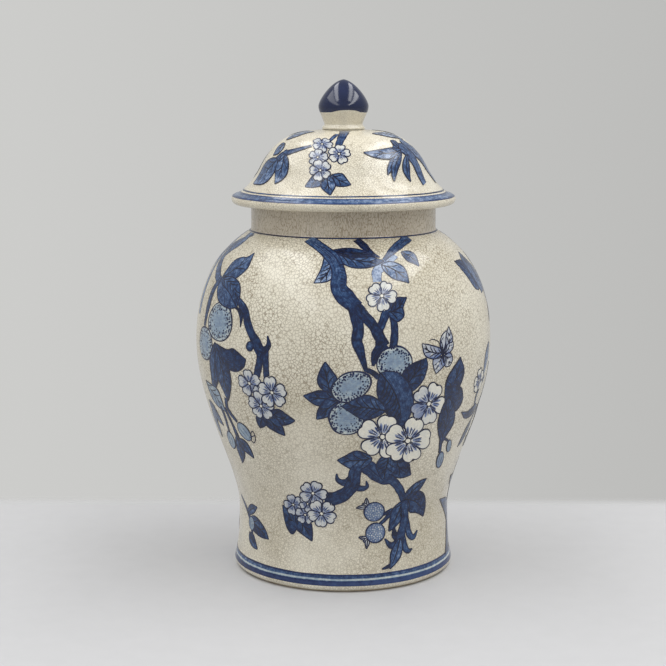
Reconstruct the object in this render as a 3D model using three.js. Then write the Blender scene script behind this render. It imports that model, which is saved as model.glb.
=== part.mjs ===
// A ginger jar with a loose domed lid, in millimetres, +Z up.
// The origin is the centre of the circle that the foot stands on.
// Every piece is a body of revolution about Z, so each one is a lathe profile
// of (radius, height) points. Luted pieces meet face to face with a small gap.

import * as THREE from 'three';

// Driving dimensions
const HEIGHT = 355;
const WALL = 6.5;
const JOINT_GAP = 0.3;
const TURNS = 48;
const CURVE_STEPS = 9;

// Foot
const FOOT_OUTER = 77.4;
const FOOT_INNER = 67.5;
const FOOT_HEIGHT = 5.7;
const FOOT_LIP = 80.6;
const FOOT_LIP_Z = 4.6;

// Body: a narrow waist above the foot, a high belly and a falling shoulder
const WAIST = 77;
const WAIST_Z = 45.5;
const WAIST_PULL = 27.5;
const BELLY = 107.3;
const BELLY_Z = 167.5;
const BELLY_PULL_DOWN = 47;
const BELLY_PULL_UP = 52.5;
const SHOULDER_PULL = 14.6;
const SHOULDER_DROP = 8.6;
const FLOOR_TOP = 14;

// Neck
const NECK_OUTER = 66.7;
const NECK_WALL = 6;
const NECK_Z = 248.1;
const NECK_TOP = 266.3;

// Lid: a rolled edge, a flaring skirt and a dome
const RIM = 80.8;
const RIM_ROLL = 3.6;
const LID_SEAT = NECK_TOP + JOINT_GAP;
const SKIRT = 60;
const SKIRT_Z = 292.2;
const CROWN = 14.5;
const CROWN_Z = 319.5;
const LID_WALL = 6;

// Locating flange under the lid, which hangs inside the neck
const FLANGE_OUTER = 58.5;
const FLANGE_WALL = 5;
const FLANGE_DEPTH = 16;

// Knob
const COLLAR = 15.2;
const STEM = 13.8;
const STEM_Z = 323.2;
const BUD = 18;
const BUD_Z = 336;

const CREAM = 0xd3ccb6;
const NECK_CREAM = 0xaba291;
const BISCUIT = 0xc8b9a0;
const COBALT = 0x1d2748;

function point(radius, height) {
  return new THREE.Vector2(radius, height);
}

// Points along a cubic curve through a start, two pulls and an end, each [radius, height]
function curve(start, pullStart, pullEnd, end, steps = CURVE_STEPS) {
  const bend = new THREE.CubicBezierCurve(
    point(...start),
    point(...pullStart),
    point(...pullEnd),
    point(...end),
  );
  return bend.getPoints(steps);
}

// Points along an arc about a centre, from one angle to another, in degrees
function arc(centre, radius, from, to, steps) {
  const sweep = new THREE.EllipseCurve(
    centre[0],
    centre[1],
    radius,
    radius,
    THREE.MathUtils.degToRad(from),
    THREE.MathUtils.degToRad(to),
    to < from,
  );
  return sweep.getPoints(steps);
}

// Drops a point that repeats the one before it
function withoutRepeats(points) {
  return points.filter((here, i) => i === 0 || here.distanceTo(points[i - 1]) > 1e-3);
}

function turned(name, points, colour, roughness) {
  const geometry = new THREE.LatheGeometry(withoutRepeats(points), TURNS);
  geometry.rotateX(Math.PI / 2);
  const material = new THREE.MeshStandardMaterial({ color: colour, roughness, metalness: 0 });
  const mesh = new THREE.Mesh(geometry, material);
  mesh.name = name;
  return mesh;
}

// A plain ring with a small bevel at the two corners of its free end
function ring(name, inner, outer, bottom, top, bevelAtTop, colour, roughness) {
  const bevel = 0.8;
  const low = bevelAtTop ? 0 : bevel;
  const high = bevelAtTop ? bevel : 0;
  const points = [
    point(inner, bottom + low),
    point(inner + low, bottom),
    point(outer - low, bottom),
    point(outer, bottom + low),
    point(outer, top - high),
    point(outer - high, top),
    point(inner + high, top),
    point(inner, top - high),
    point(inner, bottom + low),
  ];
  return turned(name, points, colour, roughness);
}

// The ring that the jar stands on: flat and bare underneath, lipped outside
function footRing() {
  const points = [
    point(FOOT_INNER, FOOT_HEIGHT),
    point(FOOT_INNER + 0.8, 0),
    point(FOOT_OUTER, 0),
    point((FOOT_OUTER + FOOT_LIP) / 2 + 0.6, FOOT_LIP_Z / 3),
    point(FOOT_LIP, FOOT_LIP_Z),
    point(FOOT_LIP, FOOT_HEIGHT),
    point(FOOT_INNER, FOOT_HEIGHT),
  ];
  return turned('foot_ring', points, BISCUIT, 0.85);
}

// The vessel itself, open at the neck seat, with the outside profile first
function jarBody() {
  const base = FOOT_HEIGHT + JOINT_GAP;
  const bore = NECK_OUTER - NECK_WALL;
  const inside = BELLY - WALL;
  const insideWaist = WAIST - WALL;
  const cornerZ = NECK_Z - WALL;
  const points = [
    point(0, base),
    ...curve([FOOT_LIP - 0.1, base], [FOOT_LIP - 1.6, base + 6], [WAIST, WAIST_Z - WAIST_PULL], [WAIST, WAIST_Z], 5),
    ...curve([WAIST, WAIST_Z], [WAIST, WAIST_Z + WAIST_PULL], [BELLY, BELLY_Z - BELLY_PULL_DOWN], [BELLY, BELLY_Z]),
    ...curve(
      [BELLY, BELLY_Z],
      [BELLY, BELLY_Z + BELLY_PULL_UP],
      [NECK_OUTER + SHOULDER_PULL, NECK_Z - SHOULDER_DROP],
      [NECK_OUTER, NECK_Z],
    ),
    point(bore, NECK_Z),
    ...curve(
      [bore, cornerZ],
      [bore + SHOULDER_PULL, cornerZ - SHOULDER_DROP],
      [inside, BELLY_Z + BELLY_PULL_UP - WALL],
      [inside, BELLY_Z],
      7,
    ),
    ...curve([inside, BELLY_Z], [inside, BELLY_Z - BELLY_PULL_DOWN], [insideWaist, WAIST_Z + WAIST_PULL],
      [insideWaist, WAIST_Z], 7),
    ...arc([insideWaist - WALL, FLOOR_TOP + WALL], WALL, 0, -90, 3),
    point(0, FLOOR_TOP),
  ];
  return turned('jar_body', points, CREAM, 0.25);
}

function neckRing() {
  const bottom = NECK_Z + JOINT_GAP;
  return ring('neck_ring', NECK_OUTER - NECK_WALL, NECK_OUTER, bottom, NECK_TOP, true, NECK_CREAM, 0.35);
}

// Rolled edge, skirt and dome, hollow underneath
function lidDome() {
  const opening = FLANGE_OUTER - FLANGE_WALL;
  const rollCentre = [RIM - RIM_ROLL, LID_SEAT + RIM_ROLL];
  const rollEnd = arc(rollCentre, RIM_ROLL, 100, 101, 1)[0].toArray();
  const ceiling = CROWN_Z - LID_WALL;
  const points = [
    point(0, ceiling),
    ...curve([CROWN, ceiling], [38, ceiling - 1], [52, 303], [opening, SKIRT_Z - 4], 6),
    point(opening, LID_SEAT),
    ...arc(rollCentre, RIM_ROLL, -90, 100, 7),
    ...curve(rollEnd, [rollEnd[0] - 3.6, rollEnd[1] + 1.2], [SKIRT + 4.1, SKIRT_Z - 8.3], [SKIRT, SKIRT_Z], 6),
    ...curve([SKIRT, SKIRT_Z], [47.3, 317.8], [33, CROWN_Z - 1.9], [CROWN, CROWN_Z], 8),
    point(0, CROWN_Z),
  ];
  return turned('lid_dome', points, CREAM, 0.25);
}

function lidFlange() {
  const inner = FLANGE_OUTER - FLANGE_WALL;
  return ring('lid_flange', inner, FLANGE_OUTER, NECK_TOP - FLANGE_DEPTH, NECK_TOP, false, BISCUIT, 0.85);
}

// A pointed bud on a tapering stem, with a slip collar where it meets the crown
function knob() {
  const base = CROWN_Z + JOINT_GAP;
  const points = [
    point(0, base),
    point(COLLAR, base),
    point(COLLAR, base + 1),
    ...curve([STEM, STEM_Z], [STEM + 1, STEM_Z + 4.2], [BUD, BUD_Z - 4], [BUD, BUD_Z], 5),
    ...curve([BUD, BUD_Z], [BUD, BUD_Z + 5], [9.5, HEIGHT - 3.5], [0, HEIGHT], 8),
  ];
  return turned('knob', points, COBALT, 0.1);
}

const jar = new THREE.Group();
jar.add(footRing(), jarBody(), neckRing());

const lid = new THREE.Group();
lid.add(lidDome(), lidFlange(), knob());

const gingerJar = new THREE.Group();
gingerJar.add(jar, lid);

export default gingerJar;
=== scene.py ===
"""A ginger jar in cream crackle glaze, painted in cobalt with flowering and fruiting branches.

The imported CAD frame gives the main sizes. Fine lathed surfaces stand for its solids, and the
painting is laid on them as thin sheets of pigment that follow the wall.
Lengths are in millimetres until a mesh is made, which is in metres.
"""

import math
import random

import bpy
import numpy as np
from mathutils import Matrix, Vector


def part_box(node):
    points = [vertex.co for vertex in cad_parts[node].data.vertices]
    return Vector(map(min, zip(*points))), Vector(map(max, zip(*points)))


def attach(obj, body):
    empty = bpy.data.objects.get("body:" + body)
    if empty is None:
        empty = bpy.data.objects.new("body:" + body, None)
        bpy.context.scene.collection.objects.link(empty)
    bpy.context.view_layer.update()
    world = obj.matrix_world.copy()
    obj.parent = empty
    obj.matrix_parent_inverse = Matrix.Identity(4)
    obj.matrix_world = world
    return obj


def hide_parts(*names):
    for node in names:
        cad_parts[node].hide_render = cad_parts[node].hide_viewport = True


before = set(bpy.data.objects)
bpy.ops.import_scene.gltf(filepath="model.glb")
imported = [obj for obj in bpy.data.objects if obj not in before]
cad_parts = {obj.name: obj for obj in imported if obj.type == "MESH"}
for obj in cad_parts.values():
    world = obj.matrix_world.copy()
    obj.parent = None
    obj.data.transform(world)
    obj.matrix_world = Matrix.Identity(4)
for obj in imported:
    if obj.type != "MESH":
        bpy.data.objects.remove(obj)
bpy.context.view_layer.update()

MM = 0.001
TURNS = 320


# ---------------------------------------------------------------- sizes from the frame

def reach(node):
    """The outer radius of a round node."""
    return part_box(node)[1].x / MM


def bottom(node):
    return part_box(node)[0].z / MM


def top(node):
    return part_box(node)[1].z / MM


FOOT_LIP = reach("foot_ring")
FOOT_LIP_Z = 4.6
FOOT_EDGE = FOOT_LIP - 3.2
FOOT_INNER = 67.5
FOOT_TOP = top("foot_ring")
WAIST = 77.0
WAIST_Z = 45.5
WAIST_PULL = 27.5
BELLY = reach("jar_body")
BELLY_Z = 167.5
BELLY_PULL_DOWN = 47.0
BELLY_PULL_UP = 52.5
SHOULDER_PULL = 14.6
SHOULDER_DROP = 8.6
FLOOR_TOP = 14.0
WALL = 6.5
NECK = reach("neck_ring")
NECK_WALL = 6.0
NECK_Z = bottom("neck_ring")
NECK_TOP = top("neck_ring")
RIM = reach("lid_dome")
RIM_ROLL = 3.6
LID_SEAT = bottom("lid_dome")
SKIRT = 60.0
SKIRT_Z = 292.2
CROWN = 14.5
CROWN_Z = top("lid_dome")
LID_WALL = 6.0
FLANGE = reach("lid_flange")
FLANGE_LOW = bottom("lid_flange")
FLANGE_TOP = top("lid_flange")
FLANGE_WALL = 5.0
KNOB_BASE = bottom("knob")
COLLAR = 15.2
STEM = 13.8
STEM_Z = 323.2
BUD = reach("knob")
BUD_Z = 336.0
BUD_EDGE_Z = 331.9
TOP = top("knob")


# ---------------------------------------------------------------- curves

def bezier(start, pull_start, pull_end, end, steps):
    """Points along a cubic curve, each (radius, height)."""
    t = np.linspace(0, 1, steps + 1)[:, None]
    a, b, c, d = (np.array(p, float) for p in (start, pull_start, pull_end, end))
    return (1 - t) ** 3 * a + 3 * (1 - t) ** 2 * t * b + 3 * (1 - t) * t**2 * c + t**3 * d


def arc(centre, radius, start, end, steps):
    """Points along an arc, with its angles in degrees."""
    t = np.radians(np.linspace(start, end, steps + 1))
    return np.stack([centre[0] + radius * np.cos(t), centre[1] + radius * np.sin(t)], -1)


def joined(*parts):
    """One outline from several, without the points that repeat."""
    line = np.vstack([np.atleast_2d(np.array(p, float)) for p in parts])
    gap = np.linalg.norm(np.diff(line, axis=0), axis=1)
    return line[np.concatenate([[True], gap > 1e-4])]


def flowing(points, spacing):
    """A smooth curve through a few points, as evenly spaced points, and each one's share of the way."""
    p = np.array(points, float)
    if len(p) == 2:
        dense = p[0] + (p[1] - p[0]) * np.linspace(0, 1, 20)[:, None]
        knots = np.linspace(0, 1, 20)
    else:
        padded = np.vstack([2 * p[0] - p[1], p, 2 * p[-1] - p[-2]])
        t = np.linspace(0, 1, 14)[:, None]
        spans = []
        for i in range(len(p) - 1):
            a, b, c, d = padded[i : i + 4]
            span = 0.5 * (
                2 * b + (c - a) * t + (2 * a - 5 * b + 4 * c - d) * t**2 + (3 * b - a - 3 * c + d) * t**3
            )
            spans.append(span if i == 0 else span[1:])
        dense = np.vstack(spans)
        knots = np.linspace(0, 1, len(dense))
    walked = np.concatenate([[0], np.cumsum(np.linalg.norm(np.diff(dense, axis=0), axis=1))])
    steps = max(3, int(walked[-1] / spacing) + 1)
    at = np.linspace(0, walked[-1], steps + 1)
    line = np.stack([np.interp(at, walked, dense[:, k]) for k in (0, 1)], -1)
    return line, np.interp(at, walked, knots)


def turned(centre, x, y, tilt):
    """Points x and y away from a centre, turned about it by a tilt in degrees."""
    c = math.cos(math.radians(tilt))
    s = math.sin(math.radians(tilt))
    return np.stack([centre[0] + x * c - y * s, centre[1] + x * s + y * c], -1)


def sideways(line, closed=False):
    """The unit normal to the left of each point of a flat line."""
    if closed:
        along = np.roll(line, -1, 0) - np.roll(line, 1, 0)
    else:
        along = np.gradient(line, axis=0)
    along /= np.maximum(np.linalg.norm(along, axis=1, keepdims=True), 1e-9)
    return np.stack([-along[:, 1], along[:, 0]], -1)


# ---------------------------------------------------------------- walls

class Wall:
    """A surface of revolution laid out flat: x runs round it and s runs up it, in millimetres."""

    def __init__(self, outline, start=0.0):
        self.r = outline[:, 0]
        self.z = outline[:, 1]
        step = np.diff(outline, axis=0)
        self.s = start + np.concatenate([[0], np.cumsum(np.linalg.norm(step, axis=1))])
        along = np.gradient(outline, self.s, axis=0)
        along /= np.linalg.norm(along, axis=1, keepdims=True)
        self.out = np.stack([along[:, 1], -along[:, 0]], -1)

    def way_up(self, z):
        """The distance up the wall at a height."""
        return float(np.interp(z, self.z, self.s))

    def place(self, x, s, azimuth, lift):
        """Points and outward normals, in metres, with azimuth 0 at the front and +X at 90 degrees."""
        r = np.interp(s, self.s, self.r)
        z = np.interp(s, self.s, self.z)
        nr = np.interp(s, self.s, self.out[:, 0])
        nz = np.interp(s, self.s, self.out[:, 1])
        turn = math.radians(azimuth) + x / r
        normal = np.stack([np.sin(turn) * nr, -np.cos(turn) * nr, nz], -1)
        normal /= np.linalg.norm(normal, axis=-1, keepdims=True)
        spot = np.stack([np.sin(turn) * r, -np.cos(turn) * r, z], -1)
        return (spot + normal * lift) * MM, normal


def jar_outside():
    return joined(
        bezier((FOOT_EDGE, 0.9), (FOOT_EDGE + 1.6, 1.0), (FOOT_LIP, 2.6), (FOOT_LIP, FOOT_LIP_Z), 10),
        bezier(
            (FOOT_LIP, FOOT_LIP_Z),
            (FOOT_LIP - 1.6, 12),
            (WAIST, WAIST_Z - WAIST_PULL),
            (WAIST, WAIST_Z),
            30,
        ),
        bezier(
            (WAIST, WAIST_Z),
            (WAIST, WAIST_Z + WAIST_PULL),
            (BELLY, BELLY_Z - BELLY_PULL_DOWN),
            (BELLY, BELLY_Z),
            80,
        ),
        bezier(
            (BELLY, BELLY_Z),
            (BELLY, BELLY_Z + BELLY_PULL_UP),
            (NECK + SHOULDER_PULL, NECK_Z - SHOULDER_DROP),
            (NECK, NECK_Z),
            90,
        ),
    )


def lid_outside():
    roll = arc((RIM - RIM_ROLL, LID_SEAT + RIM_ROLL), RIM_ROLL, 0, 100, 16)
    return joined(
        roll,
        bezier(roll[-1], roll[-1] + (-3.6, 1.2), (SKIRT + 4.1, SKIRT_Z - 8.3), (SKIRT, SKIRT_Z), 30),
        bezier((SKIRT, SKIRT_Z), (47.3, 317.8), (33, CROWN_Z - 1.9), (CROWN, CROWN_Z), 50),
    )


JAR = Wall(jar_outside(), 1.2)
LID = Wall(lid_outside())


# ---------------------------------------------------------------- materials

def linear(red, green, blue):
    """A colour given as a screen shows it, 0 to 255, as the shader wants it."""

    def channel(level):
        share = level / 255
        return share / 12.92 if level < 10.3 else ((share + 0.055) / 1.055) ** 2.4

    return (channel(red), channel(green), channel(blue), 1.0)


class Recipe:
    """A material being written: short calls for its nodes."""

    def __init__(self, name):
        self.material = bpy.data.materials.new(name)
        self.material.use_nodes = True
        self.tree = self.material.node_tree
        self.shader = self.tree.nodes["Principled BSDF"]
        self.where = self.node("ShaderNodeTexCoord").outputs["Object"]

    def node(self, kind, inputs=None, **settings):
        made = self.tree.nodes.new(kind)
        for key, value in settings.items():
            setattr(made, key, value)
        for key, value in (inputs or {}).items():
            self.feed(made.inputs[key], value)
        return made

    def feed(self, socket, value):
        if isinstance(value, bpy.types.NodeSocket):
            self.tree.links.new(value, socket)
        else:
            socket.default_value = value

    def sum(self, operation, a, b, c=0.0):
        made = self.node("ShaderNodeMath", {0: a, 1: b, 2: c}, operation=operation)
        return made.outputs[0]

    def ranged(self, value, low, high, to_low=0.0, to_high=1.0):
        inputs = {"Value": value, "From Min": low, "From Max": high, "To Min": to_low, "To Max": to_high}
        made = self.node("ShaderNodeMapRange", inputs, interpolation_type="SMOOTHSTEP")
        return made.outputs["Result"]

    def blend(self, amount, a, b):
        made = self.node("ShaderNodeMix", data_type="RGBA")
        self.feed(made.inputs[0], amount)
        self.feed(made.inputs[6], a)
        self.feed(made.inputs[7], b)
        return made.outputs[2]

    def ramp(self, value, stops):
        made = self.node("ShaderNodeValToRGB", {"Fac": value})
        ends = made.color_ramp.elements
        while len(ends) < len(stops):
            ends.new(0.5)
        for end, (place, colour) in zip(ends, stops):
            end.position = place
            end.color = colour
        return made.outputs["Color"]

    def noise(self, scale, detail=3.0, where=None, rough=0.55):
        inputs = {"Vector": where or self.where, "Scale": scale, "Detail": detail, "Roughness": rough}
        return self.node("ShaderNodeTexNoise", inputs).outputs["Fac"]

    def stretched(self, x, y, z):
        made = self.node("ShaderNodeMapping", {"Vector": self.where, "Scale": (x, y, z)})
        return made.outputs["Vector"]

    def vector(self, operation, inputs):
        return self.node("ShaderNodeVectorMath", inputs, operation=operation).outputs[0]

    def wandering(self, amount, scale, where):
        """The place of each point, pushed about a little so that no edge is straight."""
        inputs = {"Vector": where, "Scale": scale, "Detail": 2.0}
        push = self.node("ShaderNodeTexNoise", inputs).outputs["Color"]
        centred = self.vector("SUBTRACT", {0: push, 1: (0.5, 0.5, 0.5)})
        scaled = self.vector("SCALE", {0: centred, "Scale": amount})
        return self.vector("ADD", {0: where, 1: scaled})

    def cells(self, size, where):
        """Distance from the nearest crack of a network with cells about size millimetres across."""
        inputs = {"Vector": where, "Scale": 1 / (size * MM), "Randomness": 1.0}
        made = self.node("ShaderNodeTexVoronoi", inputs, feature="DISTANCE_TO_EDGE")
        return made.outputs["Distance"]

    def finish(self, colour, roughness, height=None):
        """Joins up the shader. height is that of the surface's small relief, in millimetres."""
        self.feed(self.shader.inputs["Base Color"], colour)
        self.feed(self.shader.inputs["Roughness"], roughness)
        if height is not None:
            inputs = {"Height": height, "Strength": 1.0, "Distance": MM}
            self.feed(self.shader.inputs["Normal"], self.node("ShaderNodeBump", inputs).outputs["Normal"])
        return self.material


CRACKS_FINEST = 0.05
CRACKS_OPEN = 0.17


def crackle(recipe, cell, stretch):
    """Masks of fine and of coarse cracks, 1 in a crack, and the relief between them in millimetres.

    From CRACKS_OPEN down to CRACKS_FINEST, heights in metres, a finer network takes over."""
    stretched = recipe.stretched(1, 1, stretch)
    loose = recipe.wandering(1.3 * MM, 420, stretched)
    fine = recipe.cells(cell, loose)
    finer = recipe.cells(cell * 0.6, loose)
    coarse = recipe.cells(cell * 3.4, recipe.wandering(3 * MM, 110, stretched))
    up = recipe.node("ShaderNodeSeparateXYZ", {0: recipe.where}).outputs[2]
    open_up = recipe.ranged(up, CRACKS_FINEST, CRACKS_OPEN, 0.66, 1.0)
    close_up = recipe.ranged(up, CRACKS_FINEST, CRACKS_OPEN, 0.8, 0.22)
    fine_line = recipe.sum("MULTIPLY", recipe.ranged(fine, 0.01, 0.13, 1.0, 0.0), open_up)
    finer_line = recipe.sum("MULTIPLY", recipe.ranged(finer, 0.0, 0.11, 1.0, 0.0), close_up)
    coarse_line = recipe.ranged(coarse, 0.0, 0.035, 0.9, 0.0)
    patchy = recipe.ranged(recipe.noise(26), 0.35, 0.62, 0.62, 1.0)
    network = recipe.sum("MULTIPLY", recipe.sum("MAXIMUM", fine_line, finer_line), patchy)
    rare = recipe.sum("MULTIPLY", coarse_line, recipe.ranged(recipe.noise(17), 0.45, 0.62))
    height = recipe.ranged(fine, 0.0, 0.35, 0.0, 0.02)
    return network, rare, height


GLAZE_LIGHT = linear(233, 228, 212)
GLAZE_MID = linear(224, 218, 201)
GLAZE_DEEP = linear(209, 202, 182)
CRACK = linear(120, 105, 80)
DARK_CRACK = linear(10, 16, 36)


def crackle_glaze(name, tones, stretch=1.0, cell=2.3, strength=0.76, waves=0.9):
    """Cream glaze, cloudy, with a network of stained cracks on a pebbled and slightly wavy surface."""
    recipe = Recipe(name)
    cloud = recipe.noise(14, 4)
    speck = recipe.noise(620, 2)
    light, mid, deep = tones
    colour = recipe.ramp(cloud, [(0.36, light), (0.52, mid), (0.68, deep)])
    colour = recipe.blend(recipe.ranged(speck, 0.35, 0.75, 0.0, 0.35), colour, deep)
    network, rare, height = crackle(recipe, cell, stretch)
    colour = recipe.blend(recipe.sum("MULTIPLY", network, strength), colour, CRACK)
    colour = recipe.blend(recipe.sum("MULTIPLY", rare, 0.45), colour, CRACK)
    roughness = recipe.ranged(recipe.noise(90), 0.3, 0.7, 0.13, 0.21)
    recipe.shader.inputs["IOR"].default_value = 1.5
    return recipe.finish(colour, roughness, recipe.sum("MULTIPLY_ADD", recipe.noise(34, 1), waves, height))


def pigment(name, stops, crack_strength, streak=0.15, pool=0.26, crack=CRACK):
    """Painted colour under the same glaze: its depth comes from the sheets' ink, streaked and pooled."""
    recipe = Recipe(name)
    ink = recipe.node("ShaderNodeAttribute", attribute_name="ink").outputs["Vector"]
    part = recipe.node("ShaderNodeSeparateXYZ", {0: ink})
    brush = recipe.node(
        "ShaderNodeCombineXYZ",
        {0: recipe.sum("MULTIPLY", part.outputs[1], 0.16), 1: part.outputs[2], 2: 0.0},
    ).outputs[0]
    streaks = recipe.ranged(recipe.noise(1.25, 3, brush), 0.25, 0.75, -streak, streak)
    blotch = recipe.ranged(recipe.noise(280, 5, rough=0.75), 0.3, 0.7, -pool, pool)
    depth = recipe.sum("ADD", part.outputs[0], recipe.sum("ADD", streaks, blotch))
    colour = recipe.ramp(depth, stops)
    network, rare, height = crackle(recipe, 3.0, 1.0)
    colour = recipe.blend(recipe.sum("MULTIPLY", network, crack_strength), colour, crack)
    recipe.shader.inputs["IOR"].default_value = 1.5
    roughness = recipe.ranged(recipe.noise(90), 0.3, 0.7, 0.13, 0.21)
    return recipe.finish(colour, roughness, recipe.sum("MULTIPLY_ADD", recipe.noise(34, 1), 0.9, height))


def bud_glaze():
    """Deep cobalt under a clear glassy coat, a little uneven where it pooled."""
    recipe = Recipe("cobalt_glaze")
    pooled = recipe.noise(70, 3)
    colour = recipe.ramp(pooled, [(0.3, linear(12, 24, 58)), (0.7, linear(24, 36, 72))])
    fleck = recipe.ranged(recipe.noise(900, 2), 0.55, 0.75, 0, 0.3)
    colour = recipe.blend(fleck, colour, linear(44, 54, 84))
    recipe.shader.inputs["IOR"].default_value = 1.52
    uneven = recipe.ranged(recipe.noise(120), 0.2, 0.8, 0.0, 0.03)
    return recipe.finish(colour, recipe.ranged(recipe.noise(160), 0.3, 0.7, 0.1, 0.16), uneven)


def biscuit():
    """Bare fired clay: warm, matt and slightly gritty."""
    recipe = Recipe("bare_biscuit")
    grain = recipe.noise(1400, 3)
    stops = [(0.35, linear(206, 189, 160)), (0.65, linear(178, 156, 124))]
    colour = recipe.ramp(recipe.noise(55, 4), stops)
    colour = recipe.blend(recipe.ranged(grain, 0.5, 0.75, 0, 0.5), colour, linear(132, 108, 80))
    rough = recipe.ranged(grain, 0.3, 0.7, 0.75, 0.92)
    return recipe.finish(colour, rough, recipe.sum("MULTIPLY", grain, 0.12))


WASH_STOPS = [
    (0.0, linear(158, 174, 200)),
    (0.25, linear(86, 112, 152)),
    (0.5, linear(40, 70, 112)),
    (0.75, linear(13, 38, 80)),
    (1.0, linear(4, 17, 48)),
]
LINE_STOPS = [(0.2, linear(50, 72, 118)), (0.6, linear(16, 32, 76)), (1.0, linear(5, 12, 40))]
PALE_STOPS = [(0.0, linear(204, 210, 204)), (0.4, linear(138, 158, 176)), (1.0, linear(66, 90, 134))]
WHITE_STOPS = [(0.0, linear(236, 231, 214)), (0.4, linear(208, 210, 207)), (1.0, linear(84, 108, 158))]

TONES = {
    "line": ("cobalt_line", pigment("cobalt_line", LINE_STOPS, 0.1, 0.15, 0.1, DARK_CRACK)),
    "wash": ("cobalt_wash", pigment("cobalt_wash", WASH_STOPS, 0.22, crack=DARK_CRACK)),
    "pale": ("pale_wash", pigment("pale_wash", PALE_STOPS, 0.2, 0.12, 0.18)),
    "white": ("white_slip", pigment("white_slip", WHITE_STOPS, 0.14, 0.12, 0.06)),
}
BODY_GLAZE = crackle_glaze("crackle_glaze", (GLAZE_LIGHT, GLAZE_MID, GLAZE_DEEP))
LID_TONES = (linear(234, 229, 213), linear(226, 219, 200), linear(213, 205, 185))
LID_GLAZE = crackle_glaze("lid_glaze", LID_TONES, 1.0, 1.4, 0.62, 2.6)
# The neck glaze has its own finer, upright crackle. Its tones are darker than the body's as painted shade,
# standing in for the lid's shadow on the neck.
NECK_PAINTED_SHADE_TONES = (linear(214, 206, 192), linear(204, 195, 179), linear(188, 177, 160))
NECK_GLAZE_PAINTED_SHADE = crackle_glaze("neck_glaze", NECK_PAINTED_SHADE_TONES, 0.3, 1.15, 0.72, 0.3)
STEM_GLAZE = crackle_glaze("stem_glaze", (GLAZE_LIGHT, GLAZE_MID, GLAZE_DEEP), 1.0, 1.4, 0.3, 1.0)
BUD_GLAZE = bud_glaze()
BISCUIT = biscuit()


# ---------------------------------------------------------------- meshes

SHARP_EDGE = 40


def piece(name, mesh, material, body, stands_for=()):
    made = bpy.data.objects.new(name, mesh)
    bpy.context.scene.collection.objects.link(made)
    mesh.materials.append(material)
    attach(made, body)
    if stands_for:
        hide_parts(*stands_for)
    return made


def lathe(name, outline, material, body, stands_for=()):
    """A closed outline of (radius, height) points turned about Z. Points on the axis are shared."""
    rows = []
    points = []
    for r, z in outline:
        if r < 1e-6:
            rows.append([len(points)] * TURNS)
            points.append((0, 0, z * MM))
            continue
        rows.append(list(range(len(points), len(points) + TURNS)))
        for k in range(TURNS):
            turn = math.tau * k / TURNS
            points.append((r * math.cos(turn) * MM, r * math.sin(turn) * MM, z * MM))
    faces = []
    on_axis = outline[0][0] < 1e-6
    pairs = list(zip(rows[:-1], rows[1:])) if on_axis else list(zip(rows, rows[1:] + rows[:1]))
    for below, above in pairs:
        for k in range(TURNS):
            j = (k + 1) % TURNS
            corners = [below[k], below[j], above[j], above[k]]
            faces.append(list(dict.fromkeys(corners)))
    mesh = bpy.data.meshes.new(name)
    mesh.from_pydata(points, [], faces)
    mesh.update()
    mesh.shade_smooth()
    mesh.set_sharp_from_angle(angle=math.radians(SHARP_EDGE))
    return piece(name, mesh, material, body, stands_for)


def rows_of_quads(rows, columns, closed):
    """The corner numbers of the top, underside and edges of a sheet of rows by columns points."""
    grid = np.arange(rows * columns).reshape(rows, columns)
    if closed:
        grid = np.vstack([grid, grid[:1]])
    below = grid + rows * columns
    upper = np.stack([grid[:-1, :-1], grid[1:, :-1], grid[1:, 1:], grid[:-1, 1:]], -1).reshape(-1, 4)
    lower = np.stack([below[:-1, 1:], below[1:, 1:], below[1:, :-1], below[:-1, :-1]], -1).reshape(-1, 4)
    near = np.stack([grid[1:, 0], grid[:-1, 0], below[:-1, 0], below[1:, 0]], -1)
    far = np.stack([grid[:-1, -1], grid[1:, -1], below[1:, -1], below[:-1, -1]], -1)
    faces = [upper, lower, near, far]
    if not closed:
        faces.append(np.stack([grid[0, :-1], grid[0, 1:], below[0, 1:], below[0, :-1]], -1))
        faces.append(np.stack([grid[-1, 1:], grid[-1, :-1], below[-1, :-1], below[-1, 1:]], -1))
    return np.vstack(faces)


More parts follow.
